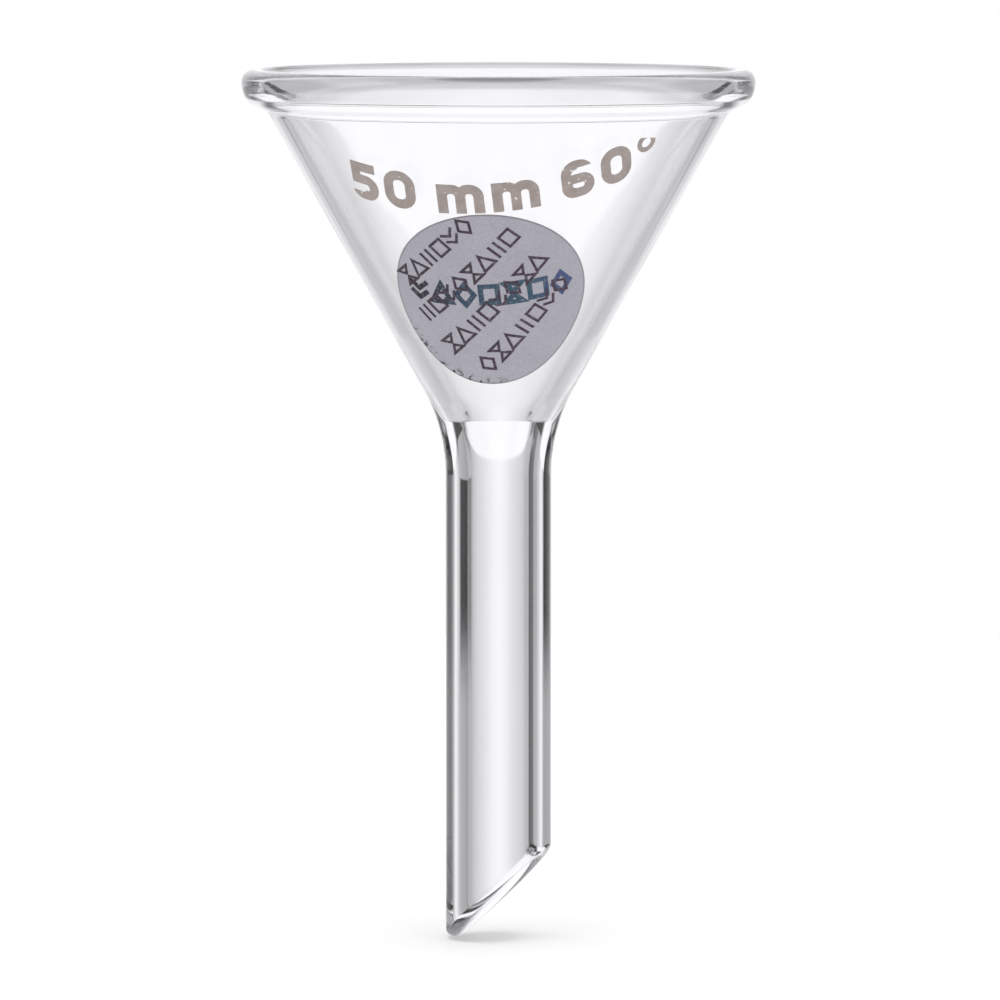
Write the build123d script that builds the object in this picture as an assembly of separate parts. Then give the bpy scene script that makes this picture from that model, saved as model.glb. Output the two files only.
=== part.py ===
from build123d import *
import math
import os

# A small glass filter funnel, in millimetres and degrees, +Z up and the stem pointing down.
# The origin is on the funnel's axis, where the stem is fused to the neck of the cone.
# The -Y side is the front: it carries the printed size mark and the round sticker.

# Glass: driving dimensions
RIM_DIAMETER = 50.0
CONE_ANGLE = 58.5
CONE_HEIGHT = 35.0          # from the outer corner of cone and stem to the top of the rim
CONE_WALL = 1.5             # from the rim down to the neck, where the wall thickens
STEM_DIAMETER = 10.3
BORE_DIAMETER = 6.0
STEM_LENGTH = 45.7          # from the neck seam to the long point of the bevel, before fire polishing
BEVEL_ANGLE = 45.0          # between the bevel's plane and the stem's axis
BEVEL_TURN = 16.0           # the bevel faces +X, turned this far towards the front
TIP_ROUNDING = 0.8          # fire polish on both edges of the stem's tip

# Neck: the bend from the straight stem into the cone. Inside, the bore widens a little up to a tight corner, and a
# steeper stretch of wall joins that corner to the cone.
NECK_STRAIGHT = 1.0         # straight outer wall above the seam
NECK_OUTER_RADIUS = 17.0
BORE_TOP = 6.7              # corner at the top of the bore, above the seam
BORE_TOP_DIAMETER = 7.35    # the bore at that corner
BORE_BEND = 2.5             # above the seam: middle of the slow bend with which the bore starts to widen
BORE_BEND_RADIUS = 28.0
BORE_TOP_ROUNDING = 0.8
NECK_TOP = 15.0             # where the thicker wall of the neck ends, above the seam
NECK_INNER_RADIUS = 20.0

# Rim bead: the cone's edge, rolled outwards
BEAD_HEIGHT = 3.2
BEAD_SIDE_HEIGHT = 1.6      # upright part of the bead's side, below the top of the rim
BEAD_TAPER = 0.45           # the side leans in this much from there to its lower edge
BEAD_UNDERSIDE_DROP = 0.9   # the underside falls this much from the bead's edge to the cone
RIM_INNER_ROUNDING = 0.5
RIM_OUTER_ROUNDING = 1.2
BEAD_SIDE_ROUNDING = 2.5
BEAD_LOWER_ROUNDING = 2.0
BEAD_ROOT_ROUNDING = 1.5

# Printed size mark: fired enamel, one character after another along a straight line of the unrolled cone
MARK_THICKNESS = 0.06
MARK_HEIGHT = 4.2
MARK_STROKE = 1.0
MARK_ROUNDNESS = 0.96       # of the characters' round strokes, 1 for semicircles
MARK_GAP = 0.8              # between characters
MARK_SPACE = 2.2            # between words
MARK_DISTANCE = 35.5        # from the cone's apex to the mark's base line, along the wall
MARK_TILT = 6.0             # of the base line in the unrolled cone, right end up
MARK_START = -11.5          # left end of the mark, from the line's nearest point to the apex

# Round sticker
STICKER_DIAMETER = 19.2
STICKER_THICKNESS = 0.12
STICKER_DISTANCE = 25.8     # from the cone's apex to the sticker's centre, along the wall
STICKER_TURN = -4.0         # of the sticker's centre about the axis, from the front
STICKER_POINTS = 20         # points of the spline that outlines it

# Derived dimensions
HALF_ANGLE = math.radians(CONE_ANGLE / 2)
STEM_RADIUS = STEM_DIAMETER / 2
BORE_RADIUS = BORE_DIAMETER / 2
RIM_RADIUS = RIM_DIAMETER / 2
OUTER_CORNER_Z = NECK_STRAIGHT + NECK_OUTER_RADIUS * math.tan(HALF_ANGLE / 2)
RIM_Z = OUTER_CORNER_Z + CONE_HEIGHT
APEX_Z = OUTER_CORNER_Z - STEM_RADIUS / math.tan(HALF_ANGLE)


def outer_radius(z):
    """Radius of the cone's outer wall at a height."""
    return (z - APEX_Z) * math.tan(HALF_ANGLE)


def inner_radius(z):
    """Radius of the cone's inner wall at a height above the neck."""
    return outer_radius(z) - CONE_WALL / math.cos(HALF_ANGLE)


def make_cone():
    """The bowl with its beaded rim and neck: one outline, turned about the axis."""
    bead_lower_z = RIM_Z - BEAD_HEIGHT
    bead_root_z = bead_lower_z - BEAD_UNDERSIDE_DROP
    corners = [
        (BORE_RADIUS, BORE_BEND, BORE_BEND_RADIUS),
        (BORE_TOP_DIAMETER / 2, BORE_TOP, BORE_TOP_ROUNDING),
        (inner_radius(NECK_TOP), NECK_TOP, NECK_INNER_RADIUS),
        (inner_radius(RIM_Z), RIM_Z, RIM_INNER_ROUNDING),
        (RIM_RADIUS, RIM_Z, RIM_OUTER_ROUNDING),
        (RIM_RADIUS, RIM_Z - BEAD_SIDE_HEIGHT, BEAD_SIDE_ROUNDING),
        (RIM_RADIUS - BEAD_TAPER, bead_lower_z, BEAD_LOWER_ROUNDING),
        (outer_radius(bead_root_z), bead_root_z, BEAD_ROOT_ROUNDING),
        (STEM_RADIUS, OUTER_CORNER_Z, NECK_OUTER_RADIUS),
    ]
    points = [(BORE_RADIUS, 0)] + [(r, z) for r, z, rounding in corners] + [(STEM_RADIUS, 0)]
    walls = FilletPolyline(*points, radius=[rounding for r, z, rounding in corners])
    seam = Line(walls @ 1, walls @ 0)
    outline = make_face(Plane.XZ * (walls + seam))
    return revolve(outline, Axis.Z)


def make_stem():
    """The tube, cut off by the bevel and fire-polished at the tip."""
    tube = Cylinder(STEM_RADIUS, STEM_LENGTH, align=(Align.CENTER, Align.CENTER, Align.MAX))
    tube -= Cylinder(BORE_RADIUS, STEM_LENGTH, align=(Align.CENTER, Align.CENTER, Align.MAX))
    bevel_z = -STEM_LENGTH + STEM_RADIUS / math.tan(math.radians(BEVEL_ANGLE))
    turn = Rot(0, 0, -BEVEL_TURN)
    bevel = Pos(0, 0, bevel_z) * turn * Rot(0, -BEVEL_ANGLE, 0)
    waste = bevel * Box(60, 60, 60, align=(Align.CENTER, Align.CENTER, Align.MAX))
    stem = tube - waste
    tip_edges = stem.edges().filter_by(GeomType.ELLIPSE)
    return fillet(tip_edges, TIP_ROUNDING)


def unrolled_to_cone(along, away):
    """A point of the unrolled outer wall, in a frame whose origin is the apex and whose `away` axis
    runs down the front of the cone from the apex to the rim, as slant distance and turn about the axis."""
    slant = math.hypot(along, away)
    turn = math.atan2(along, away) / math.sin(HALF_ANGLE)
    return slant, turn


def cone_point(slant, turn):
    """The point of the outer wall at a slant distance from the apex and a turn from the front."""
    radius = slant * math.sin(HALF_ANGLE)
    return Vector(radius * math.sin(turn), -radius * math.cos(turn), APEX_Z + slant * math.cos(HALF_ANGLE))


def wall_cone(low_slant, high_slant, proud):
    """A solid cone between two slant distances, standing proud of the outer wall by a thickness."""
    low_z = APEX_Z + low_slant * math.cos(HALF_ANGLE)
    high_z = APEX_Z + high_slant * math.cos(HALF_ANGLE)
    extra = proud / math.cos(HALF_ANGLE)
    cone = Cone(
        outer_radius(low_z) + extra,
        outer_radius(high_z) + extra,
        high_z - low_z,
        align=(Align.CENTER, Align.CENTER, Align.MIN),
    )
    return Pos(0, 0, low_z) * cone


def layer_on_wall(block, low_slant, high_slant, thickness):
    """The part of a block that lies in a thin layer on the cone's outer wall."""
    return (block & wall_cone(low_slant, high_slant, thickness)) - wall_cone(low_slant, high_slant, 0)


def make_sticker():
    """A round film, laid on the cone: a disc of the unrolled wall."""
    centre_turn = math.radians(STICKER_TURN)
    radius = STICKER_DIAMETER / 2
    outline_points = []
    for step in range(STICKER_POINTS):
        angle = 2 * math.pi * step / STICKER_POINTS
        along = radius * math.cos(angle)
        away = STICKER_DISTANCE + radius * math.sin(angle)
        slant, turn = unrolled_to_cone(along, away)
        point = cone_point(slant, turn + centre_turn)
        outline_points.append((point.X, 0, point.Z))
    outline = make_face(Spline(*outline_points, periodic=True))
    prism = extrude(outline, amount=RIM_RADIUS, dir=(0, -1, 0))
    return layer_on_wall(prism, STICKER_DISTANCE - radius - 1, STICKER_DISTANCE + radius + 1, STICKER_THICKNESS)


def upright(x, low_y, high_y):
    """A vertical stroke of a character, with its left edge at x."""
    return Pos(x, low_y) * Rectangle(MARK_STROKE, high_y - low_y, align=(Align.MIN, Align.MIN))


def loop(width, height):
    """A closed stroke with round corners, with its lower left corner at the origin."""
    corner = MARK_ROUNDNESS * min(width, height) / 2
    outer = RectangleRounded(width, height, corner)
    inner = RectangleRounded(width - 2 * MARK_STROKE, height - 2 * MARK_STROKE, corner - MARK_STROKE)
    return Pos(width / 2, height / 2) * (outer - inner)


def digit_zero():
    width = 0.78 * MARK_HEIGHT
    return loop(width, MARK_HEIGHT), width


def digit_five():
    width = 0.76 * MARK_HEIGHT
    bowl_height = 0.66 * MARK_HEIGHT
    bowl = loop(width, bowl_height)
    gap = Pos(0, 0.28 * bowl_height) * Rectangle(0.5 * width, 0.5 * bowl_height, align=(Align.MIN, Align.MIN))
    bar = Pos(0.08 * width, MARK_HEIGHT) * Rectangle(0.86 * width, MARK_STROKE, align=(Align.MIN, Align.MAX))
    back = upright(0.08 * width, 0.5 * MARK_HEIGHT, MARK_HEIGHT)
    shoulder = Pos(0.08 * width, bowl_height) * Rectangle(0.5 * width, MARK_STROKE, align=(Align.MIN, Align.MAX))
    return bowl - gap + bar + back + shoulder, width


def digit_six():
    width = 0.78 * MARK_HEIGHT
    bowl = loop(width, 0.62 * MARK_HEIGHT)
    sweep = loop(width, MARK_HEIGHT)
    cut = Pos(0.5 * width, 0) * Rectangle(width, 0.8 * MARK_HEIGHT, align=(Align.MIN, Align.MIN))
    return bowl + (sweep - cut), width


def letter_m():
    height = 0.76 * MARK_HEIGHT
    arch_width = 0.66 * MARK_HEIGHT
    arch = loop(arch_width, arch_width)
    lower_half = Rectangle(arch_width, arch_width / 2, align=(Align.MIN, Align.MIN))
    arch = Pos(0, height - arch_width) * (arch - lower_half)
    step = arch_width - MARK_STROKE
    letter = upright(0, 0, height)
    for place in (step, 2 * step):
        letter += upright(place, 0, height - arch_width / 2)
        letter += Pos(place - step, 0) * arch
    return letter, 2 * step + MARK_STROKE


def degree_ring():
    width = 0.5 * MARK_HEIGHT
    outer = Circle(width / 2)
    inner = Circle(width / 2 - 0.5 * MARK_STROKE)
    return Pos(width / 2, MARK_HEIGHT - width / 2) * (outer - inner), width


def make_size_mark():
    """The rim's diameter and the cone's nominal angle in enamel, each character on the wall under it."""
    words = [(digit_five, digit_zero), (letter_m, letter_m), (digit_six, digit_zero, degree_ring)]
    tilt = math.radians(MARK_TILT)
    characters = []
    cursor = MARK_START
    for word in words:
        for character in word:
            face, width = character()
            middle = cursor + width / 2
            slant, turn = unrolled_to_cone(middle, MARK_DISTANCE)
            turn -= tilt / math.sin(HALF_ANGLE)
            lean = math.atan2(middle, MARK_DISTANCE)
            normal = Vector(
                math.cos(HALF_ANGLE) * math.sin(turn), -math.cos(HALF_ANGLE) * math.cos(turn), -math.sin(HALF_ANGLE)
            )
            around = Vector(math.cos(turn), math.sin(turn), 0)
            wall = Plane(origin=cone_point(slant, turn), x_dir=around, z_dir=normal)
            place = wall * Rot(0, 0, math.degrees(lean)) * Pos(-width / 2, 0)
            block = extrude(place * face, amount=1.0, both=True)
            mark = layer_on_wall(block, MARK_DISTANCE - 2, MARK_DISTANCE + MARK_HEIGHT + 4, MARK_THICKNESS)
            characters += mark.solids()
            cursor += width + MARK_GAP
        cursor += MARK_SPACE - MARK_GAP
    return Compound(children=characters)


pieces = {
    "cone": make_cone(),
    "stem": make_stem(),
    "size_mark": make_size_mark(),
    "sticker": make_sticker(),
}

os.makedirs("parts", exist_ok=True)
for name, piece in pieces.items():
    export_step(piece, f"parts/{name}.step")
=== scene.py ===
import math

import bpy
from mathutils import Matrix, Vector, noise


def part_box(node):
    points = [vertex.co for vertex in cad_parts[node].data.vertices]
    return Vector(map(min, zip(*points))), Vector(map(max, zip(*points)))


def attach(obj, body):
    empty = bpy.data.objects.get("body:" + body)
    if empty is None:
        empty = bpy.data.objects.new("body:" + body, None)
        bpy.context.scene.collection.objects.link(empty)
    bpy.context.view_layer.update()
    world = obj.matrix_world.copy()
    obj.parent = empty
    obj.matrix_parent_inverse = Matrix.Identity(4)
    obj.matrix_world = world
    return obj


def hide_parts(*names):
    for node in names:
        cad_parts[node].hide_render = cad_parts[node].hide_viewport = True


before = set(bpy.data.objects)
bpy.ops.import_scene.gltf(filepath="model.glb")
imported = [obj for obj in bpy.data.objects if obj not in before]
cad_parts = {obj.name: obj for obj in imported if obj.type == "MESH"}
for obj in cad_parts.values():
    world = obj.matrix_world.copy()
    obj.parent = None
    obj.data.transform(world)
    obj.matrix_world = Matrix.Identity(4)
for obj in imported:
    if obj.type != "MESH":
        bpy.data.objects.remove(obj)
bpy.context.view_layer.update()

# A small glass filter funnel with a fired size mark and a round sticker, standing clear of a pale floor.
# Everything is in metres, in the CAD's frame: +Z up, the stem down, -Y the printed front.

MM = 0.001

# ---- Sizes read from the frame ----
cone_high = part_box("cone")[1]
stem_low, stem_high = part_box("stem")
RIM_RADIUS = cone_high.x
RIM_Z = cone_high.z
SEAM_Z = stem_high.z
TIP_Z = stem_low.z
STEM_RADIUS = stem_high.x

# ---- Sizes of the glass that the frame doesn't give, as in the CAD ----
HALF_ANGLE = math.radians(58.5 / 2)
CONE_HEIGHT = 35.0 * MM
CONE_WALL = 1.5 * MM
BORE_RADIUS = 3.0 * MM
STEM_LENGTH = 45.7 * MM
BEVEL_ANGLE = math.radians(45)
BEVEL_TURN = math.radians(16)
TIP_ROUNDING = 0.8 * MM
NECK_OUTER_RADIUS = 17.0 * MM
NECK_INNER_RADIUS = 20.0 * MM
NECK_TOP_Z = 15.0 * MM
BORE_TOP_Z = 6.7 * MM
BORE_TOP_RADIUS = 3.675 * MM
BORE_BEND_Z = 2.5 * MM
BORE_BEND_RADIUS = 28.0 * MM
BORE_TOP_ROUNDING = 0.8 * MM
BEAD_HEIGHT = 3.2 * MM
BEAD_SIDE_HEIGHT = 1.6 * MM
BEAD_TAPER = 0.45 * MM
BEAD_UNDERSIDE_DROP = 0.9 * MM
RIM_INNER_ROUNDING = 0.5 * MM
RIM_OUTER_ROUNDING = 1.2 * MM
BEAD_SIDE_ROUNDING = 2.5 * MM
BEAD_LOWER_ROUNDING = 2.0 * MM
BEAD_ROOT_ROUNDING = 1.5 * MM

# ---- Sizes of the sticker, as in the CAD ----
STICKER_RADIUS = 9.6 * MM
STICKER_DISTANCE = 25.8 * MM    # from the cone's apex to the sticker's centre, along the wall
STICKER_TURN = math.radians(-4)

OUTER_CORNER_Z = RIM_Z - CONE_HEIGHT
APEX_Z = OUTER_CORNER_Z - STEM_RADIUS / math.tan(HALF_ANGLE)

# ---- Hand-worked glass: how far the surface sinks in, at most ----
CONE_WAVE_DEPTH = 0.05 * MM
CONE_WAVE_LENGTH = 7.0 * MM
STEM_WAVE_DEPTH = 0.012 * MM
STEM_WAVE_STRETCH = 6.0         # the drawn tube's waves are this much longer than wide

# ---- Sticker film and its print ----
FILM_BASE = 0.01 * MM           # the film's back and face above the glass
FILM_TOP = 0.08 * MM
CRINKLE_DEPTH = 0.02 * MM
CRINKLE_SIZE = 1.3 * MM
INK_THICKNESS = 0.012 * MM
INK_SINK = 0.01 * MM
INK_STEP = 0.45 * MM

# ---- Mesh fineness ----
FILM_RINGS = 36
FILM_SPOKES = 144
TURN_STEPS = 288
ARC_STEPS = 10
STRAIGHT_STEP = 0.6 * MM
TIP_WALL_STEPS = 70


def outer_radius(z):
    return (z - APEX_Z) * math.tan(HALF_ANGLE)


def inner_radius(z):
    return outer_radius(z) - CONE_WALL / math.cos(HALF_ANGLE)


def rounded_corner(before, corner, after, rounding, steps=ARC_STEPS):
    """Points of the arc that rounds a corner of an outline in the (radius, z) plane."""
    corner = Vector(corner)
    to_before = (Vector(before) - corner).normalized()
    to_after = (Vector(after) - corner).normalized()
    half = to_before.angle(to_after) / 2
    start = corner + to_before * (rounding / math.tan(half))
    centre = corner + (to_before + to_after).normalized() * (rounding / math.sin(half))
    spoke = start - centre
    side = to_before.x * to_after.y - to_before.y * to_after.x
    sweep = (math.pi - 2 * half) * (-1 if side > 0 else 1)
    points = []
    for step in range(steps + 1):
        angle = sweep * step / steps
        points.append(
            centre
            + Vector((
                spoke.x * math.cos(angle) - spoke.y * math.sin(angle),
                spoke.x * math.sin(angle) + spoke.y * math.cos(angle),
            ))
        )
    return points


def divided(points, longest):
    """The same outline with its long runs cut into even steps."""
    result = [points[0]]
    for start, end in zip(points, points[1:]):
        pieces = max(1, math.ceil((end - start).length / longest))
        result += [start.lerp(end, piece / pieces) for piece in range(1, pieces + 1)]
    return result


def bowl_outline():
    """From the bore at the seam, up inside the cone, over the rim bead and down to the stem at the seam."""
    bead_lower_z = RIM_Z - BEAD_HEIGHT
    bead_root_z = bead_lower_z - BEAD_UNDERSIDE_DROP
    corners = [
        (BORE_RADIUS, SEAM_Z, 0),
        (BORE_RADIUS, BORE_BEND_Z, BORE_BEND_RADIUS),
        (BORE_TOP_RADIUS, BORE_TOP_Z, BORE_TOP_ROUNDING),
        (inner_radius(NECK_TOP_Z), NECK_TOP_Z, NECK_INNER_RADIUS),
        (inner_radius(RIM_Z), RIM_Z, RIM_INNER_ROUNDING),
        (RIM_RADIUS, RIM_Z, RIM_OUTER_ROUNDING),
        (RIM_RADIUS, RIM_Z - BEAD_SIDE_HEIGHT, BEAD_SIDE_ROUNDING),
        (RIM_RADIUS - BEAD_TAPER, bead_lower_z, BEAD_LOWER_ROUNDING),
        (outer_radius(bead_root_z), bead_root_z, BEAD_ROOT_ROUNDING),
        (STEM_RADIUS, OUTER_CORNER_Z, NECK_OUTER_RADIUS),
        (STEM_RADIUS, SEAM_Z, 0),
    ]
    points = [Vector(corners[0][:2])]
    for before, corner, after in zip(corners, corners[1:], corners[2:]):
        points += rounded_corner(before[:2], corner[:2], after[:2], corner[2], 2 * ARC_STEPS)
    points.append(Vector(corners[-1][:2]))
    return divided(points, STRAIGHT_STEP)


def stem_outline(turn):
    """From the outer wall at the seam, round the bevelled tip and up the bore, at one turn."""
    slope = math.cos(turn + BEVEL_TURN) / math.tan(BEVEL_ANGLE)
    middle_z = SEAM_Z - STEM_LENGTH + STEM_RADIUS / math.tan(BEVEL_ANGLE)
    outer = (STEM_RADIUS, middle_z + STEM_RADIUS * slope)
    inner = (BORE_RADIUS, middle_z + BORE_RADIUS * slope)
    top_outer = Vector((STEM_RADIUS, SEAM_Z))
    top_inner = Vector((BORE_RADIUS, SEAM_Z))
    outer_arc = rounded_corner(top_outer, outer, inner, TIP_ROUNDING)
    inner_arc = rounded_corner(outer, inner, top_inner, TIP_ROUNDING)
    steps = range(1, TIP_WALL_STEPS)
    down = [top_outer.lerp(outer_arc[0], step / TIP_WALL_STEPS) for step in steps]
    up = [inner_arc[-1].lerp(top_inner, step / TIP_WALL_STEPS) for step in steps]
    return down + outer_arc + inner_arc + up


def new_object(name, vertices, faces, smooth=True):
    mesh = bpy.data.meshes.new(name)
    mesh.from_pydata(vertices, [], faces)
    mesh.validate()
    if smooth:
        mesh.shade_smooth()
    made = bpy.data.objects.new(name, mesh)
    bpy.context.scene.collection.objects.link(made)
    return made


def smooth_step(low, high, value):
    share = min(1.0, max(0.0, (value - low) / (high - low)))
    return share * share * (3 - 2 * share)


def hand_worked(x, y, z):
    """A point of the glass, drawn in towards the axis by slow waves, which are weaker on the drawn tube."""
    cone_share = smooth_step(SEAM_Z, SEAM_Z + CONE_WAVE_LENGTH, z)
    stretch = STEM_WAVE_STRETCH + (1 - STEM_WAVE_STRETCH) * cone_share
    depth = STEM_WAVE_DEPTH + (CONE_WAVE_DEPTH - STEM_WAVE_DEPTH) * cone_share
    wave = 0.5 + 0.5 * noise.noise(Vector((x, y, z / stretch)) / CONE_WAVE_LENGTH)
    radius = math.hypot(x, y)
    inward = (radius - depth * wave) / radius
    return x * inward, y * inward, z


def make_glass():
    """The fused glass, one closed skin: the outline at each turn about the axis, joined to the next."""
    bowl = bowl_outline()
    vertices = []
    for turn_step in range(TURN_STEPS):
        turn = 2 * math.pi * turn_step / TURN_STEPS
        for point in bowl + stem_outline(turn):
            vertices.append(hand_worked(point.x * math.cos(turn), point.x * math.sin(turn), point.y))
    ring = len(vertices) // TURN_STEPS
    faces = []
    for turn_step in range(TURN_STEPS):
        here = turn_step * ring
        there = (turn_step + 1) % TURN_STEPS * ring
        for step in range(ring):
            after = (step + 1) % ring
            faces.append((here + after, there + after, there + step, here + step))
    return new_object("funnel_glass", vertices, faces)


# ---- Sticker: a film on the cone, laid out in the unrolled wall about the sticker's centre ----

def on_cone(along, away, lift):
    """The point over a place of the unrolled wall: `along` to the right, `away` to the rim, `lift` off."""
    away += STICKER_DISTANCE
    slant = math.hypot(along, away)
    turn = math.atan2(along, away) / math.sin(HALF_ANGLE) + STICKER_TURN
    radius = slant * math.sin(HALF_ANGLE) + lift * math.cos(HALF_ANGLE)
    z = APEX_Z + slant * math.cos(HALF_ANGLE) - lift * math.sin(HALF_ANGLE)
    return Vector((radius * math.sin(turn), -radius * math.cos(turn), z))


def crinkle(along, away):
    """The film has lifted in small folds along its left edge."""
    reach = smooth_step(0.45, 0.95, math.hypot(along, away) / STICKER_RADIUS)
    side = smooth_step(0.2, 0.8, (-along - 0.2 * away) / STICKER_RADIUS)
    fold = noise.noise(Vector((along, 1.8 * away, 0)) / CRINKLE_SIZE)
    return CRINKLE_DEPTH * reach * side * max(0.0, 1 - 3 * abs(fold))


def make_film():
    """A closed disc of film. It stores each point's distance from the film's edge for the material."""
    vertices = []
    edge_distances = []
    for face in ("top", "back"):
        for ring in range(FILM_RINGS + 1):
            radius = STICKER_RADIUS * math.sin(math.pi / 2 * ring / FILM_RINGS)
            for spoke in range(FILM_SPOKES if ring else 1):
                angle = 2 * math.pi * spoke / FILM_SPOKES
                along = radius * math.cos(angle)
                away = radius * math.sin(angle)
                lift = FILM_TOP + crinkle(along, away) if face == "top" else FILM_BASE
                vertices.append(on_cone(along, away, lift))
                edge_distances.append(STICKER_RADIUS - radius)
    layer = len(vertices) // 2

    def index(ring, spoke):
        return 1 + (ring - 1) * FILM_SPOKES + spoke % FILM_SPOKES if ring else 0

    faces = []
    for spoke in range(FILM_SPOKES):
        centre = (0, index(1, spoke), index(1, spoke + 1))
        faces.append(centre)
        faces.append(tuple(layer + corner for corner in reversed(centre)))
        for ring in range(1, FILM_RINGS):
            inner = (index(ring, spoke), index(ring, spoke + 1))
            outer = (index(ring + 1, spoke), index(ring + 1, spoke + 1))
            quad = (inner[0], outer[0], outer[1], inner[1])
            faces.append(quad)
            faces.append(tuple(layer + corner for corner in reversed(quad)))
        here = index(FILM_RINGS, spoke)
        there = index(FILM_RINGS, spoke + 1)
        faces.append((here, layer + here, layer + there, there))
    film = new_object("sticker_film", vertices, faces)
    edge = film.data.attributes.new("edge_distance", "FLOAT", "POINT")
    edge.data.foreach_set("value", edge_distances)
    return film


class Print:
    """Strokes of ink on the film, gathered into one mesh of closed strips."""

    def __init__(self, width, lift):
        self.half_width = width / 2
        self.lift = lift
        self.vertices = []
        self.faces = []

    def corner_sides(self, before, corner, after):
        """The two edges of a stroke where it turns."""
        in_way = (corner - before).normalized()
        out_way = (after - corner).normalized()
        mitre = Vector((-in_way.y - out_way.y, in_way.x + out_way.x)).normalized()
        reach = self.half_width / max(0.4, mitre.dot(Vector((-in_way.y, in_way.x))))
        return corner + mitre * reach, corner - mitre * reach

    def stroke(self, points, closed):
        """A strip of ink along the points. A closed one runs back to its start."""
        if closed:
            ends = (points[-1], points[0])
        else:
            ends = (points[0] * 2 - points[1], points[-1] * 2 - points[-2])
        path = [ends[0]] + points + [ends[1]]
        sides = [self.corner_sides(*corner) for corner in zip(path, path[1:], path[2:])]
        if closed:
            sides.append(sides[0])
        sections = [sides[0]]
        for start, end in zip(sides, sides[1:]):
            pieces = math.ceil((end[0] - start[0]).length / INK_STEP)
            for piece in range(1, pieces + 1):
                share = piece / pieces
                sections.append((start[0].lerp(end[0], share), start[1].lerp(end[1], share)))
        if closed:
            sections.pop()
        first = len(self.vertices)
        low, high = -INK_SINK, self.lift
        for left, right in sections:
            for side, height in ((left, low), (right, low), (right, high), (left, high)):
                film_top = FILM_TOP + crinkle(side.x, side.y)
                self.vertices.append(on_cone(side.x, side.y, film_top + height))
        count = len(sections)
        for section in range(count if closed else count - 1):
            here = first + 4 * section
            there = first + 4 * ((section + 1) % count)
            for k in range(4):
                after = (k + 1) % 4
                self.faces.append((here + k, here + after, there + after, there + k))
        if not closed:
            last = first + 4 * (count - 1)
            self.faces.append((first + 3, first + 2, first + 1, first))
            self.faces.append((last, last + 1, last + 2, last + 3))

    def figure(self, strokes, centre, size, turn):
        """A figure of strokes given in halves of its size, scaled, turned and set down."""
        across = Vector((math.cos(turn), math.sin(turn)))
        up = Vector((-math.sin(turn), math.cos(turn)))
        for closed, points in strokes:
            placed = [centre + (across * x + up * y) * size / 2 for x, y in points]
            self.stroke(placed, closed)

    def make(self, name):
        return new_object(name, self.vertices, self.faces, smooth=False)


DIAMOND = [(True, [(0, 1), (-0.75, 0), (0, -1), (0.75, 0)])]
SQUARE = [(True, [(-0.7, -0.8), (0.7, -0.8), (0.7, 0.8), (-0.7, 0.8)])]
TRIANGLE = [(True, [(-0.85, -0.8), (0.85, -0.8), (0, 0.9)])]
BARS = [(False, [(-0.4, -0.9), (-0.4, 0.9)]), (False, [(0.4, -0.9), (0.4, 0.9)])]
CHEVRONS = [(False, [(-0.8, 0.9), (0, 0.2), (0.8, 0.9)]), (False, [(-0.8, 0.0), (0, -0.7), (0.8, 0.0)])]
HOURGLASS = [(True, [(-0.7, 0.9), (0.7, 0.9), (0, 0.15)]), (True, [(0.7, -0.9), (-0.7, -0.9), (0, -0.15)])]
FIGURES = [DIAMOND, CHEVRONS, SQUARE, BARS, TRIANGLE, HOURGLASS]

# Rows of small outlined figures run from the upper right to the lower left: distance of each row from the
# sticker's centre towards the lower right, where it starts along the row, and how many figures it has.
ROW_ANGLE = math.radians(48)
FIGURE_SIZE = 1.9 * MM
FIGURE_PITCH = 1.8 * MM
FIGURE_STROKE = 0.27 * MM
ROWS = (
    (-7.1 * MM, 4.6 * MM, 6),
    (-3.1 * MM, 6.6 * MM, 8),
    (0.8 * MM, 6.1 * MM, 8),
    (4.6 * MM, 5.2 * MM, 7),
)

# One row of bold figures crosses the middle.
BOLD_ANGLE = math.radians(4)
BOLD_SIZE = 2.3 * MM
BOLD_PITCH = 2.35 * MM
BOLD_STROKE = 0.52 * MM
BOLD_START = Vector((-7.0 * MM, 0.1 * MM))
BOLD_FIGURES = (CHEVRONS, TRIANGLE, DIAMOND, SQUARE, HOURGLASS, SQUARE, DIAMOND)


def make_fine_print():
    fine = Print(FIGURE_STROKE, INK_THICKNESS * 2)
    along_row = Vector((-math.cos(ROW_ANGLE), -math.sin(ROW_ANGLE)))
    across_rows = Vector((math.sin(ROW_ANGLE), -math.cos(ROW_ANGLE)))
    for row, (offset, start, count) in enumerate(ROWS):
        for place in range(count):
            centre = across_rows * offset + along_row * (place * FIGURE_PITCH - start)
            strokes = FIGURES[(2 * row + place) % len(FIGURES)]
            fine.figure(strokes, centre, FIGURE_SIZE, ROW_ANGLE)
    return fine.make("sticker_fine_print")


def make_bold_print():
    bold = Print(BOLD_STROKE, INK_THICKNESS)
    along_row = Vector((math.cos(BOLD_ANGLE), math.sin(BOLD_ANGLE)))
    for place, strokes in enumerate(BOLD_FIGURES):
        bold.figure(strokes, BOLD_START + along_row * place * BOLD_PITCH, BOLD_SIZE, BOLD_ANGLE)
    return bold.make("sticker_bold_print")


# ---- Materials ----
GLASS_IOR = 1.473               # borosilicate glass

# The inks' colours from the left edge of the sticker (0) to its right edge (1).
PLUM_INK = [(0.0, (0.05, 0.03, 0.05)), (1.0, (0.07, 0.035, 0.07))]
BLUE_INK = [
    (0.15, (0.02, 0.02, 0.035)),
    (0.35, (0.03, 0.075, 0.13)),
    (0.65, (0.03, 0.09, 0.14)),
    (0.9, (0.06, 0.075, 0.25)),
]


def new_material(name):
    material = bpy.data.materials.new(name)
    material.use_nodes = True
    nodes = material.node_tree.nodes
    return material, nodes, material.node_tree.links, nodes["Principled BSDF"]


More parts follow.
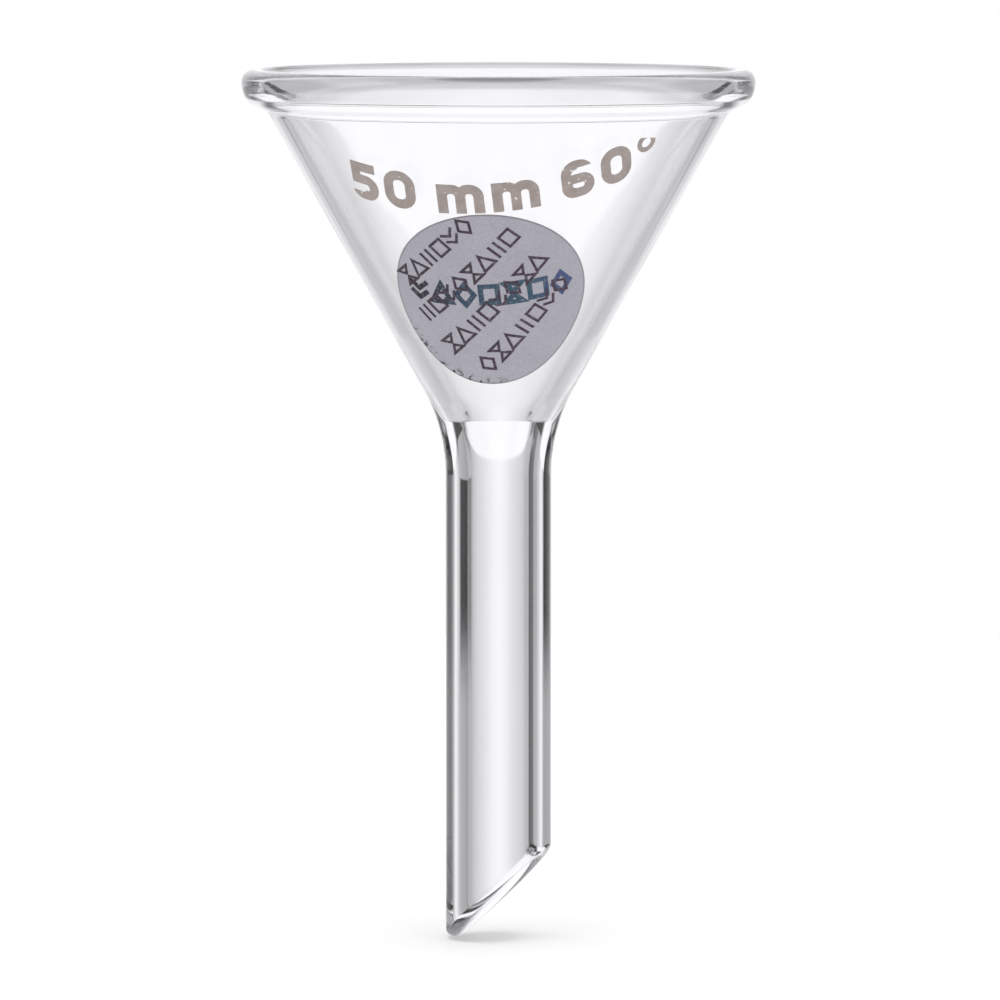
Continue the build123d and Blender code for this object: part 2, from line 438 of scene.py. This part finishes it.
def place_along(nodes, links, axis):
    """How far along one of the object's own axes each place is."""
    place = nodes.new("ShaderNodeSeparateXYZ")
    links.new(nodes.new("ShaderNodeTexCoord").outputs["Object"], place.inputs[0])
    return place.outputs[axis]


def noise_value(nodes, links, size, detail, stretch=(1, 1, 1)):
    """Smooth noise in the object's own space, with features of the given size."""
    coordinates = nodes.new("ShaderNodeTexCoord").outputs["Object"]
    scaled = nodes.new("ShaderNodeMapping")
    scaled.inputs["Scale"].default_value = [1 / (size * s) for s in stretch]
    links.new(coordinates, scaled.inputs["Vector"])
    texture = nodes.new("ShaderNodeTexNoise")
    texture.inputs["Scale"].default_value = 1.0
    texture.inputs["Detail"].default_value = detail
    links.new(scaled.outputs[0], texture.inputs["Vector"])
    return texture.outputs["Fac"]


def ramp(nodes, links, value, stops):
    """Colours for a value, from (position, colour) stops."""
    node = nodes.new("ShaderNodeValToRGB")
    links.new(value, node.inputs[0])
    elements = node.color_ramp.elements
    while len(elements) > 1:
        elements.remove(elements[-1])
    for index, (position, colour) in enumerate(stops):
        element = elements.new(position) if index else elements[0]
        element.position = position
        element.color = (*colour, 1)
    return node.outputs["Color"]


def range_map(nodes, links, value, from_range, to_range):
    """The value carried from one range into another, and held at its ends."""
    node = nodes.new("ShaderNodeMapRange")
    links.new(value, node.inputs["Value"])
    for name, limit in zip(("From Min", "From Max", "To Min", "To Max"), (*from_range, *to_range)):
        node.inputs[name].default_value = limit
    return node.outputs[0]


def mix_colour(nodes, links, factor, first, second, blend="MIX"):
    """A mix of two colours by a factor. Each of the three can be a value or the output of a node."""
    node = nodes.new("ShaderNodeMix")
    node.data_type = "RGBA"
    node.blend_type = blend
    sockets = (node.inputs["Factor"], node.inputs[6], node.inputs[7])   # 6 and 7 take the two colours
    for socket, value in zip(sockets, (factor, first, second)):
        if isinstance(value, bpy.types.NodeSocket):
            links.new(value, socket)
        elif isinstance(value, tuple):
            socket.default_value = (*value, 1)
        else:
            socket.default_value = value
    return node.outputs[2]


def bump(nodes, links, shader, height, depth):
    node = nodes.new("ShaderNodeBump")
    node.inputs["Strength"].default_value = 1.0
    node.inputs["Distance"].default_value = depth
    links.new(height, node.inputs["Height"])
    links.new(node.outputs[0], shader.inputs["Normal"])


def glass_material():
    """Clear glass with faint streaks in colour, polish and surface."""
    material, nodes, links, shader = new_material("borosilicate_glass")
    streaks = noise_value(nodes, links, 2.5 * MM, 3.0, stretch=(1, 1, 4))
    colour = ramp(nodes, links, streaks, [(0.35, (0.985, 0.99, 0.99)), (0.6, (1, 1, 1))])
    links.new(colour, shader.inputs["Base Color"])
    smears = noise_value(nodes, links, 6 * MM, 4.0)
    links.new(range_map(nodes, links, smears, (0.55, 0.75), (0.0, 0.03)), shader.inputs["Roughness"])
    bump(nodes, links, shader, streaks, 0.004 * MM)
    shader.inputs["IOR"].default_value = GLASS_IOR
    shader.inputs["Transmission Weight"].default_value = 1.0
    return material


def enamel_material():
    """Fired enamel: warm grey, thin in places, with pinholes painted pale as painted light seen through
    them.
    """
    material, nodes, links, shader = new_material("fired_enamel")
    cloud = noise_value(nodes, links, 1.2 * MM, 4.0)
    colour = ramp(nodes, links, cloud, [(0.3, (0.36, 0.30, 0.27)), (0.7, (0.46, 0.39, 0.36))])
    holes = noise_value(nodes, links, 0.3 * MM, 0.0)
    # Painted light: the pinholes are a pale colour that stands for the light seen through them, not open
    # holes.
    pinholes_painted_light = range_map(nodes, links, holes, (0.79, 0.82), (0.0, 1.0))
    colour = mix_colour(nodes, links, pinholes_painted_light, colour, (0.95, 0.94, 0.93))
    links.new(colour, shader.inputs["Base Color"])
    links.new(range_map(nodes, links, cloud, (0.3, 0.7), (0.3, 0.5)), shader.inputs["Roughness"])
    bump(nodes, links, shader, noise_value(nodes, links, 0.25 * MM, 3.0), 0.01 * MM)
    return material


def film_material():
    """Silvery lilac film: fine grain, faint blotches, a darker cut edge and dirt at the lower left edge."""
    material, nodes, links, shader = new_material("label_film")
    grain = noise_value(nodes, links, 0.12 * MM, 2.0)
    colour = ramp(nodes, links, grain, [(0.25, (0.37, 0.36, 0.405)), (0.75, (0.55, 0.54, 0.61))])
    blotches = noise_value(nodes, links, 3 * MM, 3.0)
    shade = ramp(nodes, links, blotches, [(0.3, (0.93, 0.93, 0.94)), (0.7, (1, 1, 1))])
    colour = mix_colour(nodes, links, 1.0, colour, shade, "MULTIPLY")
    edge = nodes.new("ShaderNodeAttribute")
    edge.attribute_name = "edge_distance"
    rim = range_map(nodes, links, edge.outputs["Fac"], (0.10 * MM, 0.2 * MM), (0.6, 0.0))
    colour = mix_colour(nodes, links, rim, colour, (0.2, 0.18, 0.19))
    near_edge = range_map(nodes, links, edge.outputs["Fac"], (0.3 * MM, 0.9 * MM), (1.0, 0.0))
    left = range_map(nodes, links, place_along(nodes, links, "X"), (-2 * MM, 2 * MM), (1.0, 0.0))
    low = range_map(nodes, links, place_along(nodes, links, "Z"), (14 * MM, 18 * MM), (1.0, 0.0))
    dirt = range_map(nodes, links, noise_value(nodes, links, 0.5 * MM, 1.0), (0.54, 0.6), (0.0, 1.0))
    for share in (near_edge, left, low):
        both = nodes.new("ShaderNodeMath")
        both.operation = "MULTIPLY"
        links.new(dirt, both.inputs[0])
        links.new(share, both.inputs[1])
        dirt = both.outputs[0]
    colour = mix_colour(nodes, links, dirt, colour, (0.06, 0.05, 0.06))
    links.new(colour, shader.inputs["Base Color"])
    links.new(range_map(nodes, links, blotches, (0.3, 0.7), (0.4, 0.55)), shader.inputs["Roughness"])
    bump(nodes, links, shader, grain, 0.006 * MM)
    return material


def ink_material(name, stops):
    """Printing ink: its colour changes across the sticker, and it is worn thin in small spots."""
    material, nodes, links, shader = new_material(name)
    across = place_along(nodes, links, "X")
    across = range_map(nodes, links, across, (-STICKER_RADIUS, STICKER_RADIUS), (0.0, 1.0))
    colour = ramp(nodes, links, across, stops)
    worn = range_map(nodes, links, noise_value(nodes, links, 0.3 * MM, 3.0), (0.5, 0.75), (0.0, 0.35))
    colour = mix_colour(nodes, links, worn, colour, (0.4, 0.39, 0.45))
    links.new(colour, shader.inputs["Base Color"])
    links.new(range_map(nodes, links, worn, (0.0, 0.35), (0.45, 0.6)), shader.inputs["Roughness"])
    bump(nodes, links, shader, worn, 0.004 * MM)
    return material


# ---- Camera: a long lens, a little above the rim, looking down at the middle of the funnel ----
VIEW_WIDTH = 97.2 * MM
CAMERA_DISTANCE = 0.8
SENSOR_WIDTH = 36
CAMERA_ABOVE_RIM = math.radians(1.7)
AIM = Vector((0.15 * MM, 0, -1.55 * MM))

camera_data = bpy.data.cameras.new("camera")
camera_data.sensor_width = SENSOR_WIDTH
camera_data.lens = SENSOR_WIDTH * CAMERA_DISTANCE / VIEW_WIDTH
camera_data.clip_start = 0.01
camera_data.clip_end = 20
camera = bpy.data.objects.new("camera", camera_data)
camera.location = (AIM.x, -CAMERA_DISTANCE, RIM_Z + CAMERA_DISTANCE * math.tan(CAMERA_ABOVE_RIM))
camera.rotation_mode = "QUATERNION"
camera.rotation_quaternion = (AIM - camera.location).to_track_quat("-Z", "Y")
bpy.context.scene.collection.objects.link(camera)
bpy.context.scene.camera = camera

# ---- The object ----
glass = make_glass()
glass.data.materials.append(glass_material())
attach(glass, "root")
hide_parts("cone", "stem")

film = make_film()
film.data.materials.append(film_material())
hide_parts("sticker")
fine_print = make_fine_print()
fine_print.data.materials.append(ink_material("plum_ink", PLUM_INK))
bold_print = make_bold_print()
bold_print.data.materials.append(ink_material("blue_ink", BLUE_INK))
for piece in (film, fine_print, bold_print):
    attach(piece, "root")

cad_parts["size_mark"].material_slots[0].material = enamel_material()

# ---- Studio ----
FLOOR_RADIUS = 0.3
FLOOR_CORNERS = 96
FLOOR_GLOW = 0.4
LIGHT_SIZE = 0.8
LIGHT_POWER = 8
LIGHT_PLACE = (0.0, -0.1, 0.9)
BOUNCES = 64                    # light is passed on many times inside the glass before it comes out

# The studio as the glass sees it: rings of pale and dark panels, one above the other, with a faint lilac
# tint. A panel's brightness is given at compass angles, in degrees to the right (+) or left (-) of straight
# behind the funnel. The clear glass takes its bright and dark lines from these panels.
TINT = (0.99, 0.98, 1.01)
BACKDROP = [(-15, .74), (-10, .83), (-5, .95), (0, 1.03), (5, .95), (10, .83), (15, .74)]
FLOOR_LEFT = [(-180, .5), (-155, .5), (-140, .08), (-112, .08), (-98, .6), (-60, .5), (-45, .52)]
FLOOR_RIGHT = [(45, .52), (60, .5), (110, .9), (130, .5), (142, .08), (155, .5), (180, .5)]
LOW_LEFT = [(-180, .5), (-155, .5), (-140, .06), (-112, .1), (-104, .5), (-80, .5)]
LOW_RIGHT = [(80, .5), (104, .5), (130, .3), (142, .06), (155, .5), (180, .5)]
LEFT_SIDE = [(-180, .5), (-155, .5), (-140, .06), (-116, .08), (-108, .5), (-78, .5)]
RIGHT_SIDE = [(78, .5), (108, .5), (118, .3), (140, .06), (155, .5), (180, .5)]

UNDER_THE_FLOOR = [(-180, .3), (180, .3)]
STEEP_FLOOR = [(-180, .58), (180, .58)]
NEAR_FLOOR = [(-180, .78), (-100, .78), (-60, .62), (0, .66), (60, .62), (100, .78), (180, .78)]
MIDDLE_FLOOR = FLOOR_LEFT + [(-25, .6), (-10, .7), (0, .74), (10, .7), (25, .6)] + FLOOR_RIGHT
FAR_FLOOR = FLOOR_LEFT + [(-25, .56)] + BACKDROP + [(25, .56)] + FLOOR_RIGHT
LOW_DARK_PANELS = (
    LOW_LEFT
    + [(-70, .3), (-56, .3), (-50, .05), (-26, .05), (-20, .66)]
    + BACKDROP
    + [(20, .66), (26, .05), (50, .05), (56, .3), (72, .3)]
    + LOW_RIGHT
)
LOW_GREY_PANELS = (
    LOW_LEFT
    + [(-72, .35), (-60, .38), (-42, .42), (-30, .48), (-24, .6)]
    + BACKDROP
    + [(22, .66), (33, .46), (47, .42), (52, .16), (70, .1)]
    + LOW_RIGHT
)
DARK_LEFT_PANEL = (
    LEFT_SIDE
    + [(-66, .02), (-36, .02), (-24, .6)]
    + BACKDROP
    + [(22, .66), (33, .42), (47, .38), (52, .15), (70, .1)]
    + RIGHT_SIDE
)
WINDOW_AND_DARK_SIDES = (
    LEFT_SIDE
    + [(-74, .5), (-68, .4), (-62, .02), (-36, .02), (-24, 1.1)]
    + [(22, 1.1), (34, .02), (66, .02), (70, .2)]
    + RIGHT_SIDE
)
HIGH_WINDOW = [
    (-180, .06), (-140, .06), (-100, .15), (-80, .5), (-40, .95),
    (40, .95), (80, .5), (100, .15), (140, .06), (180, .06),
]
DARK_CEILING = [(-180, .1), (180, .1)]
OVERHEAD = [(-180, .8), (180, .8)]

# Each ring above the lowest takes over from the one below it between two elevations, in degrees.
LOWEST_RING = UNDER_THE_FLOOR
RINGS = [
    (-80, -70, STEEP_FLOOR),
    (-64, -52, NEAR_FLOOR),
    (-44, -34, MIDDLE_FLOOR),
    (-26, -17, FAR_FLOOR),
    (-16, -14, LOW_DARK_PANELS),
    (-10.5, -9.5, LOW_GREY_PANELS),
    (-6.2, -5.4, DARK_LEFT_PANEL),
    (-4.4, -3.7, WINDOW_AND_DARK_SIDES),
    (16, 40, HIGH_WINDOW),
    (38, 52, DARK_CEILING),
    (78, 86, OVERHEAD),
]


def make_world():
    """The rings of panels around the scene. The background itself is plain white."""
    world = bpy.data.worlds.new("studio")
    bpy.context.scene.world = world
    world.use_nodes = True
    nodes, links = world.node_tree.nodes, world.node_tree.links
    nodes.clear()

    def math_node(operation, first, second):
        node = nodes.new("ShaderNodeMath")
        node.operation = operation
        for socket, value in zip(node.inputs, (first, second)):
            if isinstance(value, (int, float)):
                socket.default_value = value
            else:
                links.new(value, socket)
        return node.outputs[0]

    direction = nodes.new("ShaderNodeTexCoord").outputs["Generated"]
    parts = nodes.new("ShaderNodeSeparateXYZ")
    links.new(direction, parts.inputs[0])
    turn = math_node("ARCTAN2", parts.outputs["X"], parts.outputs["Y"])
    turn = math_node("ADD", math_node("DIVIDE", turn, 2 * math.pi), 0.5)

    def ring_colour(panels):
        colours = [(0.5 + angle / 360, tuple(brightness * t for t in TINT)) for angle, brightness in panels]
        return ramp(nodes, links, turn, colours)

    def rise(low_angle, high_angle):
        """0 below the first elevation, 1 above the second, and smooth between them."""
        step = nodes.new("ShaderNodeMapRange")
        step.interpolation_type = "SMOOTHSTEP"
        links.new(parts.outputs["Z"], step.inputs["Value"])
        step.inputs["From Min"].default_value = math.sin(math.radians(low_angle))
        step.inputs["From Max"].default_value = math.sin(math.radians(high_angle))
        return step.outputs[0]

    world_colour = ring_colour(LOWEST_RING)
    for low_angle, high_angle, panels in RINGS:
        next_ring = ring_colour(panels)
        world_colour = mix_colour(nodes, links, rise(low_angle, high_angle), world_colour, next_ring)
    seen_directly = nodes.new("ShaderNodeLightPath").outputs["Is Camera Ray"]
    background = nodes.new("ShaderNodeBackground")
    links.new(mix_colour(nodes, links, seen_directly, world_colour, (1, 1, 1)), background.inputs["Color"])
    output = nodes.new("ShaderNodeOutputWorld")
    links.new(background.outputs[0], output.inputs["Surface"])


make_world()

# The floor is left out of what is seen through or mirrored in the glass, so that the panels show there.
floor_turns = [2 * math.pi * corner / FLOOR_CORNERS for corner in range(FLOOR_CORNERS)]
floor_points = [(FLOOR_RADIUS * math.cos(t), FLOOR_RADIUS * math.sin(t), TIP_Z) for t in floor_turns]
floor = new_object("floor", floor_points, [tuple(range(FLOOR_CORNERS))], smooth=False)
floor_material, nodes, links, shader = new_material("pale_floor")
shader.inputs["Base Color"].default_value = (0.9, 0.9, 0.9, 1)
shader.inputs["Roughness"].default_value = 0.7
shader.inputs["Emission Color"].default_value = (1, 1, 1, 1)
shader.inputs["Emission Strength"].default_value = FLOOR_GLOW
floor.data.materials.append(floor_material)
floor.visible_transmission = False
floor.visible_glossy = False

light_data = bpy.data.lights.new("overhead", "AREA")
light_data.shape = "SQUARE"
light_data.size = LIGHT_SIZE
light_data.energy = LIGHT_POWER
light = bpy.data.objects.new("overhead", light_data)
light.location = LIGHT_PLACE
light.visible_transmission = False
light.visible_glossy = False
bpy.context.scene.collection.objects.link(light)

bpy.context.scene.view_settings.view_transform = "Standard"
bpy.context.scene.cycles.max_bounces = BOUNCES
bpy.context.scene.cycles.glossy_bounces = BOUNCES
bpy.context.scene.cycles.transmission_bounces = BOUNCES
